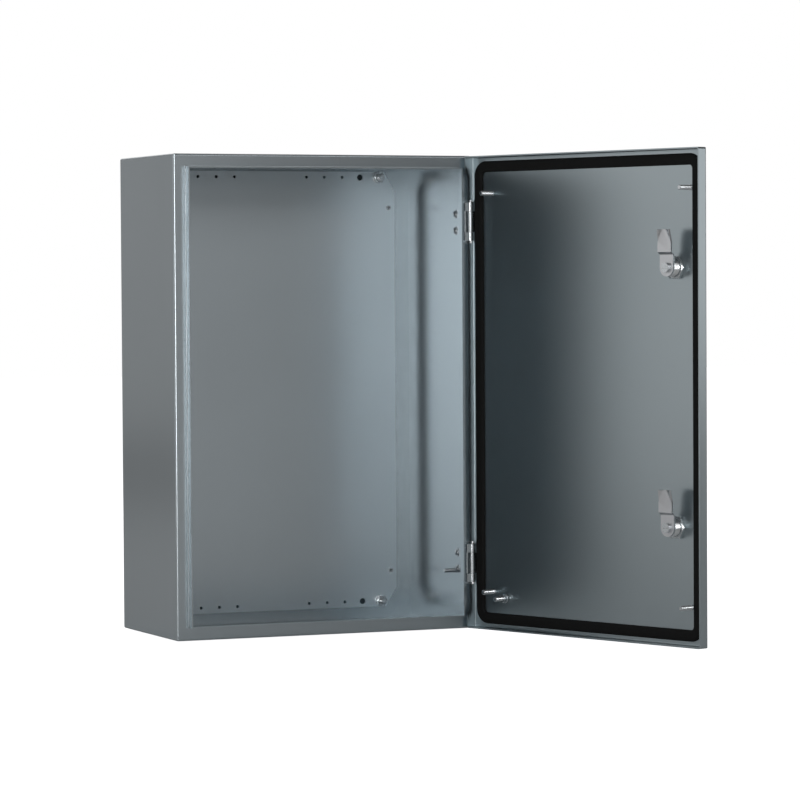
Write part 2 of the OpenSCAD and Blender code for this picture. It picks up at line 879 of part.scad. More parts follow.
// Cam: a flat bar with a round hub end and a step, so that its tip goes behind the flange
module lock_cam(s) {
    h0 = cam_h;
    h1 = cam_h + cam_step;
    bend2 = cam_bend + cam_slope_l;
    square_hole = cam_square + 2 * thread_play;
    color("#d8dbdd")
        on_skin(-lock_x, s * lock_z) {
            difference() {
                intersection() {
                    translate([-cam_w / 2, 0, 0])
                        rotate([90, 0, 90])
                            linear_extrude(cam_w)
                                polygon([
                                    [h0, -cam_w / 2], [h0 + cam_t, -cam_w / 2],
                                    [h0 + cam_t, cam_bend], [h1 + cam_t, bend2],
                                    [h1 + cam_t, cam_reach], [h1, cam_reach],
                                    [h1, bend2], [h0, cam_bend]
                                ]);
                    union() {
                        rod_y(cam_w, h0 - over, h0 + cam_t + over);
                        flat_on_skin(h0 - over)
                            linear_extrude(cam_step + cam_t + 2 * over)
                                polygon([
                                    [-cam_w / 2, 0], [cam_w / 2, 0],
                                    [cam_w / 2, cam_reach - cam_lead_l],
                                    [cam_w / 2 - cam_lead_w, cam_reach],
                                    [cam_lead_w - cam_w / 2, cam_reach],
                                    [-cam_w / 2, cam_reach - cam_lead_l]
                                ]);
                    }
                }
                bar(
                    [-square_hole / 2, h0 - over, -square_hole / 2],
                    [square_hole / 2, cam_top_h + over, square_hole / 2]
                );
            }
            flat_on_skin(h1) {
                cam_lead();
                mirror([1, 0, 0])
                    cam_lead();
            }
        }
}

// Turns a plane piece drawn on XY to lie along the skin, at a height above it
module flat_on_skin(h) {
    mirror([0, 1, 0])
        rotate([90, 0, 0])
            translate([0, 0, h])
                children();
}

// Corner of a cam's tip, folded up on a slanting line
module cam_lead() {
    fold_l = norm([cam_lead_l, cam_lead_w]);
    // Distance of the corner from the fold
    corner_d = cam_lead_l * cam_lead_w / fold_l;
    translate([cam_w / 2, cam_reach - cam_lead_l, 0])
        rotate([0, 0, atan2(cam_lead_l, -cam_lead_w)])
            rotate([-asin(cam_lead_h / corner_d), 0, 0])
                linear_extrude(cam_t)
                    polygon([[0, 0], [fold_l, 0], [cam_lead_l * cam_lead_l / fold_l, -corner_d]]);
}

// Slotted screw that holds the cam on its square
module lock_screw(s) {
    top = cam_top_h + cam_head_h;
    color("#dcdfe1")
        on_skin(-lock_x, s * lock_z)
            difference() {
                union() {
                    rod_y(cam_head_d, cam_top_h, top);
                    rod_y(cam_screw_d, cam_top_h - cam_screw_l, cam_top_h);
                }
                bar(
                    [-cam_head_d, top - cam_slot_h, -cam_slot_w / 2],
                    [cam_head_d, top + over, cam_slot_w / 2]
                );
            }
}

body_shell();
rear_panel();
mounting_plate();
plate_inserts();
plate_studs();
plate_spacers();
plate_washers();
plate_nuts();
body_earth_stud();
hinge_leaf(hinge_z);  // hinge_leaf_upper
hinge_leaf(-hinge_z);  // hinge_leaf_lower
hinge_pin(hinge_z);  // hinge_pin_upper
hinge_pin(-hinge_z);  // hinge_pin_lower
hinge_fixings();
door_panel();
door_gasket();
door_knuckle(hinge_z);  // door_knuckle_upper
door_knuckle(-hinge_z);  // door_knuckle_lower
door_studs();
door_earth_stud();
door_earth_washer();
door_earth_nut();
lock_housing(1);  // lock_upper_housing
lock_seal(1);  // lock_upper_seal
lock_nut(1);  // lock_upper_nut
lock_washer(1);  // lock_upper_washer
lock_rotor(1);  // lock_upper_rotor
lock_cam(1);  // lock_upper_cam
lock_screw(1);  // lock_upper_screw
lock_housing(-1);  // lock_lower_housing
lock_seal(-1);  // lock_lower_seal
lock_nut(-1);  // lock_lower_nut
lock_washer(-1);  // lock_lower_washer
lock_rotor(-1);  // lock_lower_rotor
lock_cam(-1);  // lock_lower_cam
lock_screw(-1);  // lock_lower_screw
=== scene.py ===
# %% [markdown]
# # A steel wall enclosure with its door open
#
# The frame holds every solid of the enclosure at its real size: the folded case, the mounting
# plate, the door on its two hinges and the two locks. This script dresses them. Sheet metal
# keeps its solid and gets a finish. Small turned parts, such as studs and nuts, are made again
# here with threads and broken edges, because light catches on those.

# %% Load the frame
import json
import math

import bmesh
import bpy
from mathutils import Matrix, Vector


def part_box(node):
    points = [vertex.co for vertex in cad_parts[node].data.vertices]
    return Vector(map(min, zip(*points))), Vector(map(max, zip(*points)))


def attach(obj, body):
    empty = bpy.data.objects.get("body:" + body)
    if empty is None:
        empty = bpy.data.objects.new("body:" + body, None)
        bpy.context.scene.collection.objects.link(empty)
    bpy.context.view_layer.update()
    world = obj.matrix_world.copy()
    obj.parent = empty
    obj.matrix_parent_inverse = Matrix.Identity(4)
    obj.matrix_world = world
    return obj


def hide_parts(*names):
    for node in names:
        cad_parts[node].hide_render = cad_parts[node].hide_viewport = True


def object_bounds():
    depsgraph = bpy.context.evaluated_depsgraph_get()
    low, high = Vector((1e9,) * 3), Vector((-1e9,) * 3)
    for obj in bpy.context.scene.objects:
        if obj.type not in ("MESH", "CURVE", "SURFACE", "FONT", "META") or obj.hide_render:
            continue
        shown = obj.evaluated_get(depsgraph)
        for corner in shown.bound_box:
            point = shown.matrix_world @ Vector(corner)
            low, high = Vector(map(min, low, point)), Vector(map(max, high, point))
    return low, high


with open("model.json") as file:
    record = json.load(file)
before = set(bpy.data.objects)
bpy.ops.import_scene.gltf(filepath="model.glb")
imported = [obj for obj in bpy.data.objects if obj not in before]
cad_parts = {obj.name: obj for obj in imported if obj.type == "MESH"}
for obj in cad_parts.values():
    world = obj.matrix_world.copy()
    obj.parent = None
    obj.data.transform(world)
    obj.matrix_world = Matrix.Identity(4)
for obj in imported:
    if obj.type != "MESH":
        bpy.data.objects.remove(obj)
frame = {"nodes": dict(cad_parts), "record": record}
cad_low, cad_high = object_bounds()
MM = 0.001
print("case and open door:", [round(v, 3) for v in (cad_high - cad_low)])

# %% [markdown]
# ## The camera
#
# A product view has little perspective: the camera stands well back and uses a long lens. It
# looks in at the case from the left, a little above the middle, so that the inside of the case
# and the inside of the door both face it.

# %% Set up the camera
CAMERA_PLACE = Vector((-1.716, -4.440, 0.141))
CAMERA_TURN = math.radians(23.19)
CAMERA_TILT = math.radians(-1.85)
CAMERA_ROLL = math.radians(0.35)
LENS = 164.8


def aim(turn, tilt):
    """The direction of view, turned to the right of +Y and tilted up from the horizon."""
    return Vector((
        math.sin(turn) * math.cos(tilt),
        math.cos(turn) * math.cos(tilt),
        math.sin(tilt),
    ))


def add_camera():
    data = bpy.data.cameras.new("camera")
    data.lens = LENS
    data.sensor_width = 36.0
    data.clip_end = 50.0
    camera = bpy.data.objects.new("camera", data)
    bpy.context.scene.collection.objects.link(camera)
    look = aim(CAMERA_TURN, CAMERA_TILT).to_track_quat("-Z", "Y").to_matrix().to_4x4()
    camera.matrix_world = (
        Matrix.Translation(CAMERA_PLACE) @ look @ Matrix.Rotation(-CAMERA_ROLL, 4, "Z")
    )
    bpy.context.scene.camera = camera
    return camera


camera = add_camera()
print("camera", round((CAMERA_PLACE - (cad_low + cad_high) / 2).length, 2), "m away")

# %% [markdown]
# ## Places on the closed door
#
# Everything on the door is easier to make with the door shut, where its skin lies square to the
# axes, and to turn about the hinge afterwards. The record gives the hinge's place, and the axis
# of a lock is the skin's outward normal, so the two together give the turn.

# %% Find the door's turn
JOINTS = {j["name"]: j for j in frame["record"]["behaviour"]["joints"]}
hinge_place = Vector(JOINTS["door_hinge"]["pos_m"])
out_of_skin = Vector(JOINTS["upper_lock_turn"]["axis"])
door_angle = math.atan2(out_of_skin.x, -out_of_skin.y)
door_turn = (
    Matrix.Translation(hinge_place)
    @ Matrix.Rotation(door_angle, 4, "Z")
    @ Matrix.Translation(-hinge_place)
)
print("the door stands open by", round(math.degrees(door_angle), 1), "degrees")


def closed_box(node):
    """Lowest and highest corner of a node on the door, with the door turned shut."""
    shut = door_turn.inverted()
    points = [shut @ v.co for v in frame["nodes"][node].data.vertices]
    low = Vector([min(p[i] for p in points) for i in range(3)])
    high = Vector([max(p[i] for p in points) for i in range(3)])
    return low, high


# %% [markdown]
# ## The solids of a node
#
# Fasteners that are alike share one node, so a node can hold several solids. This walks over the
# shared corners of its faces and gives the middle of each solid.

# %% Split a node into its solids
def solid_boxes(node):
    """The box of each separate solid in a node, as (low, high), ordered by place."""
    mesh = frame["nodes"][node].data
    keys = [tuple(round(c, 6) for c in v.co) for v in mesh.vertices]
    parent = {k: k for k in keys}

    def root(k):
        while parent[k] != k:
            parent[k] = parent[parent[k]]
            k = parent[k]
        return k

    for face in mesh.polygons:
        first = root(keys[face.vertices[0]])
        for index in face.vertices[1:]:
            parent[root(keys[index])] = first
    groups = {}
    for k in parent:
        groups.setdefault(root(k), []).append(Vector(k))
    boxes = []
    for points in groups.values():
        low = Vector([min(p[i] for p in points) for i in range(3)])
        high = Vector([max(p[i] for p in points) for i in range(3)])
        boxes.append((low, high))
    return sorted(boxes, key=lambda b: tuple(round(c, 4) for c in b[0]))


print("door studs:", len(solid_boxes("door_studs")))

# %% [markdown]
# ## A grain that several metals share
#
# Rolled sheet isn't a mirror. Its surface is a fine, almost even roughness with faint clouds in
# it, left by rolling and pickling, and small marks from handling. One node group makes both: a
# fine noise for the grain and a broad one for the clouds. Each metal places it with its own
# values. The group puts out colours, a roughness and a height, and the shader stays outside.

# %% Build the shared grain
def new_group(name, inputs, outputs):
    """A shader node group with the named sockets, its two end nodes and its links."""
    group = bpy.data.node_groups.new(name, "ShaderNodeTree")
    for label, kind, value in inputs:
        socket = group.interface.new_socket(label, in_out="INPUT", socket_type=kind)
        socket.default_value = value
    for label, kind in outputs:
        group.interface.new_socket(label, in_out="OUTPUT", socket_type=kind)
    start = group.nodes.new("NodeGroupInput")
    end = group.nodes.new("NodeGroupOutput")
    return group, start, end


def noise(tree, scale_from, vector, detail, name):
    node = tree.nodes.new("ShaderNodeTexNoise")
    node.name = name
    node.inputs["Detail"].default_value = detail
    tree.links.new(scale_from, node.inputs["Scale"])
    tree.links.new(vector, node.inputs["Vector"])
    return node


def math_node(tree, operation, a, b):
    """A Math node whose two inputs are sockets or plain numbers."""
    node = tree.nodes.new("ShaderNodeMath")
    node.operation = operation
    for socket, value in zip(node.inputs, (a, b)):
        if isinstance(value, (int, float)):
            socket.default_value = value
        else:
            tree.links.new(value, socket)
    return node.outputs["Value"]


FLOAT = "NodeSocketFloat"
COLOUR = "NodeSocketColor"


def build_grain():
    group, start, end = new_group(
        "metal_grain",
        [
            ("Colour", COLOUR, (0.5, 0.5, 0.5, 1.0)),
            ("Cloud Scale", FLOAT, 6.0),
            ("Cloud Depth", FLOAT, 0.05),
            ("Grain Scale", FLOAT, 900.0),
            ("Grain Depth", FLOAT, 0.03),
            ("Roughness", FLOAT, 0.4),
        ],
        [("Colour", COLOUR), ("Roughness", FLOAT), ("Height", FLOAT)],
    )
    place = group.nodes.new("ShaderNodeTexCoord").outputs["Object"]
    clouds = noise(group, start.outputs["Cloud Scale"], place, 4.0, "clouds").outputs["Fac"]
    grain = noise(group, start.outputs["Grain Scale"], place, 2.0, "grain").outputs["Fac"]
    cloud_swing = math_node(group, "MULTIPLY", math_node(group, "SUBTRACT", clouds, 0.5),
                            start.outputs["Cloud Depth"])
    grain_swing = math_node(group, "MULTIPLY", math_node(group, "SUBTRACT", grain, 0.5),
                            start.outputs["Grain Depth"])
    swing = math_node(group, "ADD", cloud_swing, grain_swing)
    tone = group.nodes.new("ShaderNodeMix")
    tone.data_type = "RGBA"
    tone.blend_type = "MULTIPLY"
    tone.inputs["Factor"].default_value = 1.0
    shade = group.nodes.new("ShaderNodeCombineColor")
    level = math_node(group, "ADD", swing, 1.0)
    for channel in ("Red", "Green", "Blue"):
        group.links.new(level, shade.inputs[channel])
    group.links.new(start.outputs["Colour"], tone.inputs["A"])
    group.links.new(shade.outputs["Color"], tone.inputs["B"])
    group.links.new(tone.outputs["Result"], end.inputs["Colour"])
    rough = math_node(group, "ADD", start.outputs["Roughness"],
                      math_node(group, "MULTIPLY", swing, 0.6))
    group.links.new(rough, end.inputs["Roughness"])
    group.links.new(grain, end.inputs["Height"])
    return group


grain_group = build_grain()
print("grain group has", len(grain_group.nodes), "nodes")

# %% [markdown]
# ## Metals
#
# A metal has no colour of its own under its reflections: what looks like its colour is how it
# tints them. So all the metals here are fully metallic, and differ in tint, in roughness and in
# how deep the grain is. The sheet is satin, with broad soft reflections. The case and the door
# are one satin steel, and the door's darker tint is painted shade, set to how dark the door reads
# under this light. The plate's lighter tint is partly a lighter finish and partly painted light.
# Zinc plating is brighter, smoother and a little mottled.

# %% Make the metals
def metal(name, colour, rough, clouds, grain, bump):
    """A metal. clouds and grain are (scale, depth); bump is the grain's height in metres."""
    material = bpy.data.materials.new(name)
    material.use_nodes = True
    tree = material.node_tree
    shader = tree.nodes["Principled BSDF"]
    shader.inputs["Metallic"].default_value = 1.0
    mix = tree.nodes.new("ShaderNodeGroup")
    mix.node_tree = grain_group
    mix.inputs["Colour"].default_value = (*colour, 1.0)
    mix.inputs["Cloud Scale"].default_value = clouds[0]
    mix.inputs["Cloud Depth"].default_value = clouds[1]
    mix.inputs["Grain Scale"].default_value = grain[0]
    mix.inputs["Grain Depth"].default_value = grain[1]
    mix.inputs["Roughness"].default_value = rough
    relief = tree.nodes.new("ShaderNodeBump")
    relief.inputs["Strength"].default_value = 1.0
    relief.inputs["Distance"].default_value = bump
    tree.links.new(mix.outputs["Colour"], shader.inputs["Base Color"])
    tree.links.new(mix.outputs["Roughness"], shader.inputs["Roughness"])
    tree.links.new(mix.outputs["Height"], relief.inputs["Height"])
    tree.links.new(relief.outputs["Normal"], shader.inputs["Normal"])
    return material


METALS = {
    "body_steel": metal("satin_steel_case", (0.515, 0.57, 0.60), 0.25,
                        (5.0, 0.06), (1400.0, 0.04), 0.0000012),
    # the door is the case's steel; its darker tint is painted shade
    "door_steel": metal("satin_steel_door_painted_shade", (0.455, 0.515, 0.54), 0.29,
                        (5.0, 0.06), (1400.0, 0.04), 0.0000012),
    # the plate's lighter tint is partly a lighter finish and partly painted light
    "plate_steel": metal("satin_steel_plate_painted_light", (0.585, 0.645, 0.68), 0.33,
                         (6.0, 0.07), (1400.0, 0.04), 0.0000012),
    "zinc": metal("bright_zinc", (0.66, 0.69, 0.71), 0.25,
                  (160.0, 0.18), (2600.0, 0.08), 0.000004),
    "cam_steel": metal("satin_zinc", (0.72, 0.73, 0.75), 0.3,
                       (160.0, 0.12), (2600.0, 0.08), 0.000004),
    "lock_metal": metal("cast_zinc", (0.74, 0.76, 0.77), 0.22,
                        (220.0, 0.16), (2200.0, 0.10), 0.000006),
}
print("metals:", sorted(METALS))

# %% [markdown]
# ## The gasket's foam
#
# The seal is a black polyurethane foam that is poured on as a bead and sets with a thin skin. It
# is matt, with a fine pored surface, so its noise is stronger in height than in colour.

# %% Make the foam and the flat rubber seals
def foam(name, colour, pores, depth):
    material = bpy.data.materials.new(name)
    material.use_nodes = True
    tree = material.node_tree
    shader = tree.nodes["Principled BSDF"]
    place = tree.nodes.new("ShaderNodeTexCoord").outputs["Object"]
    cells = tree.nodes.new("ShaderNodeTexVoronoi")
    cells.inputs["Scale"].default_value = pores
    cloud = tree.nodes.new("ShaderNodeTexNoise")
    cloud.inputs["Scale"].default_value = pores / 12
    cloud.inputs["Detail"].default_value = 3.0
    for node in (cells, cloud):
        tree.links.new(place, node.inputs["Vector"])
    ramp = tree.nodes.new("ShaderNodeValToRGB")
    ramp.color_ramp.elements[0].color = (*[c * 0.75 for c in colour], 1.0)
    ramp.color_ramp.elements[1].color = (*[c * 1.3 for c in colour], 1.0)
    tree.links.new(cloud.outputs["Fac"], ramp.inputs["Fac"])
    tree.links.new(ramp.outputs["Color"], shader.inputs["Base Color"])
    rough = tree.nodes.new("ShaderNodeMapRange")
    rough.inputs["To Min"].default_value = 0.75
    rough.inputs["To Max"].default_value = 0.95
    shader.inputs["Specular IOR Level"].default_value = 0.25
    tree.links.new(cloud.outputs["Fac"], rough.inputs["Value"])
    tree.links.new(rough.outputs["Result"], shader.inputs["Roughness"])
    relief = tree.nodes.new("ShaderNodeBump")
    relief.inputs["Distance"].default_value = depth
    tree.links.new(cells.outputs["Distance"], relief.inputs["Height"])
    tree.links.new(relief.outputs["Normal"], shader.inputs["Normal"])
    return material


FOAM = foam("black_foam", (0.0062, 0.0064, 0.0064), 1600.0, 0.00006)
print("foam:", FOAM.name)

# %% [markdown]
# ## Give every solid its finish
#
# The record says which finish each node has. Every node is painted here, also those that a more
# detailed piece stands for later, so that nothing is left bare.

# %% Paint the nodes
SLOTS = {s["node"]: s["material_slot"] for s in frame["record"]["subparts"]}


def finish_of(slot):
    return FOAM if slot == "gasket" else METALS[slot]


def paint(obj, material):
    obj.data.materials.clear()
    obj.data.materials.append(material)


for node, obj in frame["nodes"].items():
    paint(obj, finish_of(SLOTS[node]))
print("painted", len(frame["nodes"]), "nodes")

# %% [markdown]
# ## Turned pieces
#
# Studs, nuts, washers and screw heads are all stacks of rings round one axis. A ring is a height
# and a radius, and the radius may depend on the angle, which makes a hexagon or a thread. The
# rings of a closed piece start and end on the axis, or join up when the piece has a bore.

# %% Build a piece from rings
def ring_mesh(name, rings, segments, bored=False):
    """A closed mesh round +Z. rings is a list of (z, radius); a radius may be a function of the
    angle. A bored piece joins its last ring to its first, any other is closed on the axis."""
    mesh = bmesh.new()
    loops = []
    for z, radius in rings:
        loop = []
        for i in range(segments):
            angle = 2 * math.pi * i / segments
            r = radius(angle) if callable(radius) else radius
            loop.append(mesh.verts.new((r * math.cos(angle), r * math.sin(angle), z)))
        loops.append(loop)
    pairs = list(zip(loops, loops[1:]))
    if bored:
        pairs.append((loops[-1], loops[0]))
    for low, high in pairs:
        for i in range(segments):
            j = (i + 1) % segments
            mesh.faces.new((low[i], low[j], high[j], high[i]))
    if not bored:
        for loop, z in ((loops[0], rings[0][0]), (loops[-1], rings[-1][0])):
            tip = mesh.verts.new((0.0, 0.0, z))
            for i in range(segments):
                mesh.faces.new((loop[i], loop[(i + 1) % segments], tip))
    bmesh.ops.recalc_face_normals(mesh, faces=mesh.faces)
    data = bpy.data.meshes.new(name)
    mesh.to_mesh(data)
    mesh.free()
    return data


def smooth(data, sharp_above):
    """Shades a mesh smooth, but keeps edges sharp where faces meet at more than an angle."""
    mesh = bmesh.new()
    mesh.from_mesh(data)
    limit = math.radians(sharp_above)
    for face in mesh.faces:
        face.smooth = True
    for edge in mesh.edges:
        if len(edge.link_faces) == 2 and edge.calc_face_angle(0.0) > limit:
            edge.smooth = False
    mesh.to_mesh(data)
    mesh.free()


def place(name, data, matrix, body, slot, *nodes):
    """Puts a mesh in the frame as a piece of a body, with its finish, in place of some nodes."""
    obj = bpy.data.objects.new(name, data)
    bpy.context.scene.collection.objects.link(obj)
    obj.matrix_world = matrix
    paint(obj, finish_of(slot))
    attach(obj, body)
    if nodes:
        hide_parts(*nodes)
    return obj


def joined(name, meshes):
    """One mesh from several (mesh, matrix) pairs."""
    whole = bmesh.new()
    for data, matrix in meshes:
        first = len(whole.verts)
        whole.from_mesh(data)
        whole.verts.ensure_lookup_table()
        bmesh.ops.transform(whole, matrix=matrix, verts=whole.verts[first:])
    data = bpy.data.meshes.new(name)
    whole.to_mesh(data)
    whole.free()
    return data


# %% [markdown]
# ## Threads
#
# A thread is a ridge that climbs by one pitch for each turn. Seen in rings, the radius at a
# height depends on how far that height is, in pitches, from the ridge at that angle. Near the
# stud's free end a cone cuts the ridge off, as on a real stud.

# %% Cut a thread
THREAD_STEPS = 8
THREAD_DEPTH = 0.61  # of the pitch


def ridge(phase):
    """Height of the thread's profile, 0 at the root and 1 at the crest, for a phase in turns."""
    t = phase % 1.0
    flank = 0.42
    if t < flank:
        return t / flank
    if t < 0.5:
        return 1.0
    if t < 0.5 + flank:
        return 1.0 - (t - 0.5) / flank
    return 0.0


def threaded_rings(z0, z1, d, pitch):
    """Rings of a thread of outer diameter d between two heights."""
    crest, root = d / 2, d / 2 - THREAD_DEPTH * pitch
    count = max(2, round((z1 - z0) / pitch * THREAD_STEPS))
    rings = []
    for i in range(count + 1):
        z = z0 + (z1 - z0) * i / count
        cone = root + (z1 - z) * 0.9

        def radius(angle, z=z, cone=cone):
            r = root + (crest - root) * ridge(z / pitch - angle / (2 * math.pi))
            return min(r, max(cone, root * 0.97))

        rings.append((z, radius))
    return rings


def stud_mesh(name, length, d, pitch, foot_d=0.0, foot_h=0.0, segments=36):
    """A weld stud along +Z: a foot on the sheet, then thread up to a chamfered end."""
    rings = []
    edge = 0.12 * MM
    if foot_h:
        rings += [(0.0, foot_d / 2), (foot_h - edge, foot_d / 2), (foot_h, foot_d / 2 - edge)]
    neck = foot_h + 0.05 * MM
    rings += [(max(neck - 0.05 * MM, 0.0), d / 2 - THREAD_DEPTH * pitch)]
    rings += threaded_rings(neck, length, d, pitch)
    data = ring_mesh(name, rings, segments)
    smooth(data, 40)
    return data


print("thread:", THREAD_STEPS, "rings to a pitch")

# %% [markdown]
# ## Nuts and washers
#
# A nut is pressed from hexagonal bar, and its corners are turned off on a cone so that they don't
# cut the washer. In rings that is the smaller of two radii: the hexagon's, and the cone's at that
# height.

# %% Press a nut and punch a washer
CHAMFER_ANGLE = 30
NUT_SEGMENTS = 144
WASHER_SEGMENTS = 64


def hexagon(across_flats):
    """Radius of a hexagon at an angle, with a corner at angle 0."""
    def radius(angle):
        part = angle % (math.pi / 3) - math.pi / 6
        return across_flats / 2 / math.cos(part)

    return radius


def nut_mesh(name, across_flats, height, bore_d):
    """A nut round +Z, its foot at 0. Its corners are turned off at both ends."""
    side = hexagon(across_flats)
    corner = across_flats / 2 / math.cos(math.pi / 6)
    face_r = across_flats / 2 * 0.95
    rise = (corner - face_r) * math.tan(math.radians(CHAMFER_ANGLE))
    heights = [0.0, rise / 4, rise / 2, rise, height - rise, height - rise / 2,
               height - rise / 4, height]
    rings = []
    for z in heights:
        cone = face_r + min(z, height - z) / math.tan(math.radians(CHAMFER_ANGLE))
        rings.append((z, lambda a, cone=cone: min(side(a), cone)))
    lead = 0.4 * MM
    rings += [(height, bore_d / 2 + lead), (height - lead, bore_d / 2),
              (lead, bore_d / 2), (0.0, bore_d / 2 + lead)]
    data = ring_mesh(name, rings, NUT_SEGMENTS, bored=True)
    smooth(data, 22)
    return data


def washer_mesh(name, outer_d, bore_d, t):
    """A punched washer: its upper edges are rounded by the punch, its lower ones are sharp."""
    soft = min(0.25 * MM, t / 3)
    rings = [
        (0.0, outer_d / 2 - soft / 3), (soft / 3, outer_d / 2),
        (t - soft, outer_d / 2), (t - soft / 3, outer_d / 2 - soft / 3),
        (t, outer_d / 2 - soft), (t, bore_d / 2 + soft),
        (t - soft / 2, bore_d / 2), (0.0, bore_d / 2),
    ]
    data = ring_mesh(name, rings, WASHER_SEGMENTS, bored=True)
    smooth(data, 35)
    return data


# %% [markdown]
# ## Where a fastener stands
#
# A turned piece is made round +Z. To stand it on a face, +Z is turned to the face's outward
# direction and the piece's foot is moved to the face. Local +Y stays upright, so that a nut has
# its flats above and below, as in the solids.

# %% Stand pieces on faces
def standing(foot, direction):
    """Matrix that puts +Z along a direction, with the origin at foot."""
    turn = Vector(direction).to_track_quat("Z", "Y").to_matrix().to_4x4()
    return Matrix.Translation(foot) @ turn


FORWARD = Vector((0.0, -1.0, 0.0))


def plate_fasteners():
    """Studs, washers and nuts that hold the mounting plate."""
    studs, washers, nuts = [], [], []
    for low, high in solid_boxes("plate_studs"):
        x, z = (low.x + high.x) / 2, (low.z + high.z) / 2
        d = high.x - low.x
        studs.append((stud_mesh("s", high.y - low.y, d, 1.25 * MM),
                      standing((x, high.y, z), FORWARD)))
        bore = d
    for low, high in solid_boxes("plate_washers"):
        x, z = (low.x + high.x) / 2, (low.z + high.z) / 2
        washers.append((washer_mesh("w", high.x - low.x, bore + 0.2 * MM, high.y - low.y),
                        standing((x, high.y, z), FORWARD)))
    for low, high in solid_boxes("plate_nuts"):
        x, z = (low.x + high.x) / 2, (low.z + high.z) / 2
        nuts.append((nut_mesh("n", high.z - low.z, high.y - low.y, bore),
                     standing((x, high.y, z), FORWARD)))
    place("threaded_plate_studs", joined("threaded_plate_studs", studs), Matrix(), "body", "zinc",
          "plate_studs")
    place("punched_plate_washers", joined("punched_plate_washers", washers), Matrix(), "body",
          "zinc", "plate_washers")
    place("pressed_plate_nuts", joined("pressed_plate_nuts", nuts), Matrix(), "body", "zinc",
          "plate_nuts")
    return len(studs)


print("plate fixings:", plate_fasteners())

# %% [markdown]
# ## Weld studs for earth leads and door fittings
#
# A weld stud is an M6 thread on a short, wider foot that is shot onto the sheet. The door's
# studs are made with the door shut and turned with it. One of them carries a washer and a nut,
# for the earth lead. The case has a single stud, on its right wall.

# %% Studs on the door and the case
STUD_D = 6 * MM
STUD_PITCH = 1.0 * MM
FOOT_D = 7.5 * MM
FOOT_H = 1 * MM


def door_fasteners():
    """The door's studs, and the washer and nut on its earth stud, made with the door shut."""
    inward = Vector((0.0, 1.0, 0.0))
    shut = door_turn.inverted()
    studs = []
    earth_low, earth_high = closed_box("door_earth_stud")
    length = earth_high.y - earth_low.y
    for low, high in solid_boxes("door_studs"):
        middle = shut @ ((low + high) / 2)
        foot = Vector((middle.x, middle.y - length / 2, middle.z))
        studs.append((stud_mesh("s", length, STUD_D, STUD_PITCH, FOOT_D, FOOT_H),
                      door_turn @ standing(foot, inward)))
    place("threaded_door_studs", joined("threaded_door_studs", studs), Matrix(), "door", "zinc",
          "door_studs")
    for node, maker, name in (
        ("door_earth_stud", lambda w, h: stud_mesh("s", h, STUD_D, STUD_PITCH, w, FOOT_H),
         "threaded_door_earth_stud"),
        ("door_earth_washer", lambda w, h: washer_mesh("w", w, 6.2 * MM, h),
         "punched_door_earth_washer"),
        ("door_earth_nut", lambda w, h: nut_mesh("n", w, h, STUD_D), "pressed_door_earth_nut"),
    ):
        low, high = closed_box(node)
        foot = Vector(((low.x + high.x) / 2, low.y, (low.z + high.z) / 2))
        data = maker(high.z - low.z, high.y - low.y)
        data.transform(door_turn @ standing(foot, inward))
        data.name = name
        place(name, data, Matrix(), "door", "zinc", node)
    return len(studs)


print("door studs:", door_fasteners())

low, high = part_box("body_earth_stud")
earth = stud_mesh("threaded_body_earth_stud", high.x - low.x, STUD_D, STUD_PITCH, FOOT_D, FOOT_H)
earth.transform(standing((high.x, (low.y + high.y) / 2, (low.z + high.z) / 2), (-1.0, 0.0, 0.0)))
place("threaded_body_earth_stud", earth, Matrix(), "body", "zinc", "body_earth_stud")
print("earth stud:", len(earth.polygons), "faces")

# %% [markdown]
# ## The locks
#
# A quarter-turn lock is clamped in its hole from behind by a thin hexagon nut. Its housing is a
# zinc die-casting with a fine thread over the whole shank. Both are made from rings round the
# lock's axis, at heights over the skin's inner face, with the door shut, and then turned with it.

# %% Cast the housings and press their nuts and washers
SHANK_D = 22.0 * MM
HEAD_D = 30.0 * MM
ROTOR_BORE = 15.1 * MM


def on_skin(node):
    """Matrix that puts +Z inward from the door's skin, on the axis of a lock."""
    low, high = closed_box(node)
    nut_low, _ = closed_box(node.rsplit("_", 1)[0] + "_nut")
    axes = Matrix(((1, 0, 0, 0), (0, 0, 1, 0), (0, -1, 0, 0), (0, 0, 0, 1)))
    foot = Vector(((low.x + high.x) / 2, nut_low.y, (low.z + high.z) / 2))
    return door_turn @ Matrix.Translation(foot) @ axes


def housing_mesh(name):
    top, head_low, head_high = 15.0 * MM, -6.5 * MM, -2.5 * MM
    edge = 0.6 * MM
    well, well_d = head_low + 2.3 * MM, 19.1 * MM
    rings = [
        (head_low, well_d / 2), (head_low, HEAD_D / 2 - 3 * edge),
        (head_low + edge / 2, HEAD_D / 2 - edge), (head_low + 1.6 * edge, HEAD_D / 2),
        (head_high, HEAD_D / 2), (head_high, SHANK_D / 2 - 0.9 * MM),
    ]
    rings += threaded_rings(head_high + 0.1 * MM, top, SHANK_D, 1.5 * MM)
    rings += [(top, ROTOR_BORE / 2), (well, ROTOR_BORE / 2), (well, well_d / 2)]
    data = ring_mesh(name, rings, 96, bored=True)
    smooth(data, 35)
    return data


def dress_lock(side):
    node = "lock_" + side
    low, high = closed_box(node + "_nut")
    washer_low, washer_high = closed_box(node + "_washer")
    pieces = (
        ("threaded_housing", housing_mesh, (), 0.0, "housing", "lock_metal"),
        ("pressed_nut", nut_mesh, (high.z - low.z, high.y - low.y, SHANK_D + 0.06 * MM), 0.0,
         "nut", "zinc"),
        ("punched_washer", washer_mesh,
         (washer_high.z - washer_low.z, SHANK_D + 0.06 * MM, washer_high.y - washer_low.y),
         washer_low.y - low.y, "washer", "zinc"),
    )
    for what, maker, sizes, lift, part, slot in pieces:
        name = side + "_lock_" + what
        data = maker(name, *sizes)
        data.transform(on_skin(node + "_nut") @ Matrix.Translation((0.0, 0.0, lift)))
        place(name, data, Matrix(), "door", slot, node + "_" + part)


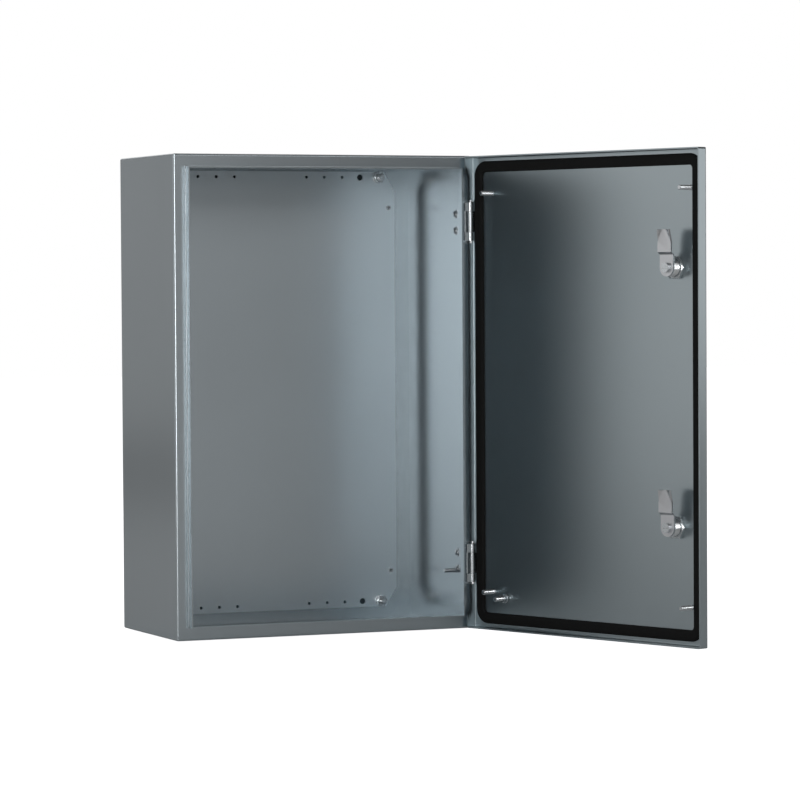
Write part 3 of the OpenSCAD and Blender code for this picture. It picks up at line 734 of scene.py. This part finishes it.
for side in ("upper", "lower"):
    dress_lock(side)
housing = bpy.data.objects["upper_lock_threaded_housing"]
print("lock housing:", len(housing.data.polygons), "faces")

# %% [markdown]
# ## Eased edges
#
# Nothing pressed or cut from metal has a perfectly sharp edge, and it is on the edges that
# small pieces catch the light. A copy of the solid's mesh has its flat faces joined up again,
# then a narrow bevel goes along every edge that is sharper than 30 degrees.

# %% Break the edges of small solids
def eased(node, width, segments=2):
    """A copy of a node's mesh with narrow bevels on its edges, riding in its place."""
    mesh = bmesh.new()
    mesh.from_mesh(frame["nodes"][node].data)
    bmesh.ops.remove_doubles(mesh, verts=mesh.verts, dist=0.00001)
    bmesh.ops.dissolve_limit(mesh, angle_limit=math.radians(1.0), verts=mesh.verts,
                             edges=mesh.edges)
    sharp = [e for e in mesh.edges
             if len(e.link_faces) == 2 and e.calc_face_angle(0.0) > math.radians(30)]
    bmesh.ops.bevel(mesh, geom=sharp, offset=width, segments=segments, profile=0.5,
                    affect="EDGES", clamp_overlap=True)
    name = "eased_" + node
    data = bpy.data.meshes.new(name)
    mesh.to_mesh(data)
    mesh.free()
    smooth(data, 50)
    piece = place(name, data, Matrix(), BODY_OF[node], SLOTS[node], node)
    even = piece.modifiers.new("flat faces stay flat", "WEIGHTED_NORMAL")
    even.keep_sharp = True
    return piece


BODY_OF = {
    node: body
    for body, nodes in frame["record"]["behaviour"]["bodies"].items()
    for node in nodes
}


EASED = {
    "lock_upper_cam": 0.25, "lock_lower_cam": 0.25,
    "lock_upper_screw": 0.3, "lock_lower_screw": 0.3,
    "hinge_leaf_upper": 0.25, "hinge_leaf_lower": 0.25,
    "door_knuckle_upper": 0.25, "door_knuckle_lower": 0.25,
    "hinge_pin_upper": 0.2, "hinge_pin_lower": 0.2,
}
for node, width in EASED.items():
    eased(node, width * MM)
print("eased", len(EASED), "solids")

# %% [markdown]
# ## The foam gasket
#
# The gasket is one closed bead. It is swept as a profile round a rectangle with round corners:
# flat on the skin, with a crowned top. The profile is a superellipse, which is fuller than an
# ellipse, as a poured bead is.

# %% Pour the gasket
def rounded_path(half_w, half_h, radius, arc_steps=14, side_steps=10):
    """Points and outward directions round a rectangle with round corners, in the XZ plane."""
    path = []
    for corner, (sx, sz) in enumerate(((1, 1), (-1, 1), (-1, -1), (1, -1))):
        cx, cz = sx * (half_w - radius), sz * (half_h - radius)
        for i in range(arc_steps + 1):
            angle = math.pi / 2 * (corner + i / arc_steps)
            out = Vector((math.cos(angle), 0.0, math.sin(angle)))
            path.append((Vector((cx, 0.0, cz)) + out * radius, out))
    full = []
    for (p, out), (q, out2) in zip(path, path[1:] + path[:1]):
        full.append((p, out))
        if (q - p).length > radius:
            for i in range(1, side_steps):
                full.append((p.lerp(q, i / side_steps), out))
    return full


def bead_profile(width, height, steps=20, power=3.2):
    """Points (across, up) of a crowned bead on a flat base, from the outer to the inner side."""
    points = []
    for i in range(steps + 1):
        t = math.pi * i / steps
        c, s = math.cos(t), math.sin(t)
        across = math.copysign(abs(c) ** (2 / power), c) * width / 2
        points.append((across, abs(s) ** (2 / power) * height))
    return points


def pour_gasket():
    low, high = closed_box("door_gasket")
    centre = (low + high) / 2
    width, height = 14 * MM, high.y - low.y
    outer_r = 19 * MM
    half_w, half_h = (high.x - low.x) / 2, (high.z - low.z) / 2
    profile = bead_profile(width, height)
    mesh = bmesh.new()
    rows = []
    for point, out in rounded_path(half_w - width / 2, half_h - width / 2, outer_r - width / 2):
        base = Vector((centre.x, low.y, centre.z)) + point
        rows.append([mesh.verts.new(base + out * a + Vector((0.0, u, 0.0))) for a, u in profile])
    for row, following in zip(rows, rows[1:] + rows[:1]):
        for i in range(len(profile)):
            j = (i + 1) % len(profile)
            mesh.faces.new((row[i], row[j], following[j], following[i]))
    bmesh.ops.recalc_face_normals(mesh, faces=mesh.faces)
    data = bpy.data.meshes.new("poured_gasket")
    mesh.to_mesh(data)
    mesh.free()
    smooth(data, 50)
    data.transform(door_turn)
    return place("poured_gasket", data, Matrix(), "door", "gasket", "door_gasket")


gasket = pour_gasket()
print("gasket:", len(gasket.data.polygons), "faces")

# %% [markdown]
# ## The studio lights
#
# Satin sheet shows what stands around it as broad soft patches, so the lights decide how it
# reads. The main light is a soft box low on the left, nearly level with the case. A higher one
# stands beside the camera, and others open up the sides, the back and the top. Each is a large
# rectangle that looks at the case, given by its turn from straight in front, its height as an
# angle, its size and its power. None of them shows in a view.

# %% Set up the soft lights
STAGE_MIDDLE = Vector((0.1, -0.3, 0.0))
LIGHT_DISTANCE = 3.0


def soft_light(name, turn, height, size, power):
    """A soft box that looks at the middle of the stage. turn is in degrees, to the right."""
    out = aim(math.radians(180.0 - turn), math.radians(height))
    data = bpy.data.lights.new(name, "AREA")
    data.shape = "RECTANGLE"
    data.size, data.size_y = size
    data.energy = power
    light = bpy.data.objects.new(name, data)
    bpy.context.scene.collection.objects.link(light)
    light.matrix_world = (
        Matrix.Translation(STAGE_MIDDLE + out * LIGHT_DISTANCE)
        @ (-out).to_track_quat("-Z", "Y").to_matrix().to_4x4()
    )
    light.visible_camera = False
    return light


soft_light("key_light", -42, 4, (0.95, 1.0), 17.5)
soft_light("front_light", -15, 25, (1.1, 1.0), 7.5)
soft_light("right_light", 20, 25, (1.1, 1.0), 3.4)
soft_light("low_light", 5, 3, (0.9, 1.0), 1.6)
soft_light("edge_light", 66, 8, (0.9, 1.0), 2.8)
soft_light("left_light", -121, 4, (1.9, 2.0), 8.0)
soft_light("rear_left_light", -157, 7, (1.3, 1.1), 0.9)
soft_light("left_high_light", -105, 35, (1.1, 1.0), 2.5)
soft_light("top_light", 0, 85, (2.5, 2.5), 4.0)
soft_light("back_light", 170, 18, (2.4, 1.6), 8.0)

# %% [markdown]
# ## The floor and the room
#
# The room is white where it is seen, and dim where the metal reflects it: a bright room all
# round would wash out the soft patches. The Light Path node tells the two apart. The floor is
# the same plain white.

# %% Lay the floor and paint the room
ROOM_GLOW = 0.12
FLOOR_Z = cad_low.z - 0.002
FLOOR_HALF = 12.0


def seen_or_reflected(tree, seen, reflected):
    """A value that is one thing for the camera's own rays and another for all other rays."""
    path = tree.nodes.new("ShaderNodeLightPath")
    pick = tree.nodes.new("ShaderNodeMapRange")
    pick.inputs["To Min"].default_value = reflected
    pick.inputs["To Max"].default_value = seen
    tree.links.new(path.outputs["Is Camera Ray"], pick.inputs["Value"])
    return pick.outputs["Result"]


def pale_floor():
    mesh = bmesh.new()
    bmesh.ops.create_grid(mesh, x_segments=8, y_segments=8, size=FLOOR_HALF)
    data = bpy.data.meshes.new("studio_floor")
    mesh.to_mesh(data)
    mesh.free()
    floor = bpy.data.objects.new("studio_floor", data)
    bpy.context.scene.collection.objects.link(floor)
    floor.location = (0.0, 0.0, FLOOR_Z)
    material = bpy.data.materials.new("pale_floor")
    material.use_nodes = True
    tree = material.node_tree
    shader = tree.nodes["Principled BSDF"]
    shader.inputs["Base Color"].default_value = (0.92, 0.92, 0.92, 1.0)
    shader.inputs["Roughness"].default_value = 0.9
    shader.inputs["Emission Color"].default_value = (1.0, 1.0, 1.0, 1.0)
    tree.links.new(seen_or_reflected(tree, 1.0, 0.0), shader.inputs["Emission Strength"])
    paint(floor, material)
    return floor


def white_room():
    world = bpy.data.worlds.new("studio_room")
    bpy.context.scene.world = world
    world.use_nodes = True
    tree = world.node_tree
    back = tree.nodes["Background"]
    back.inputs["Color"].default_value = (1.0, 1.0, 1.0, 1.0)
    tree.links.new(seen_or_reflected(tree, 1.0, ROOM_GLOW), back.inputs["Strength"])


pale_floor()
white_room()
bpy.context.scene.view_settings.view_transform = "Standard"
print("floor at", round(FLOOR_Z, 3))
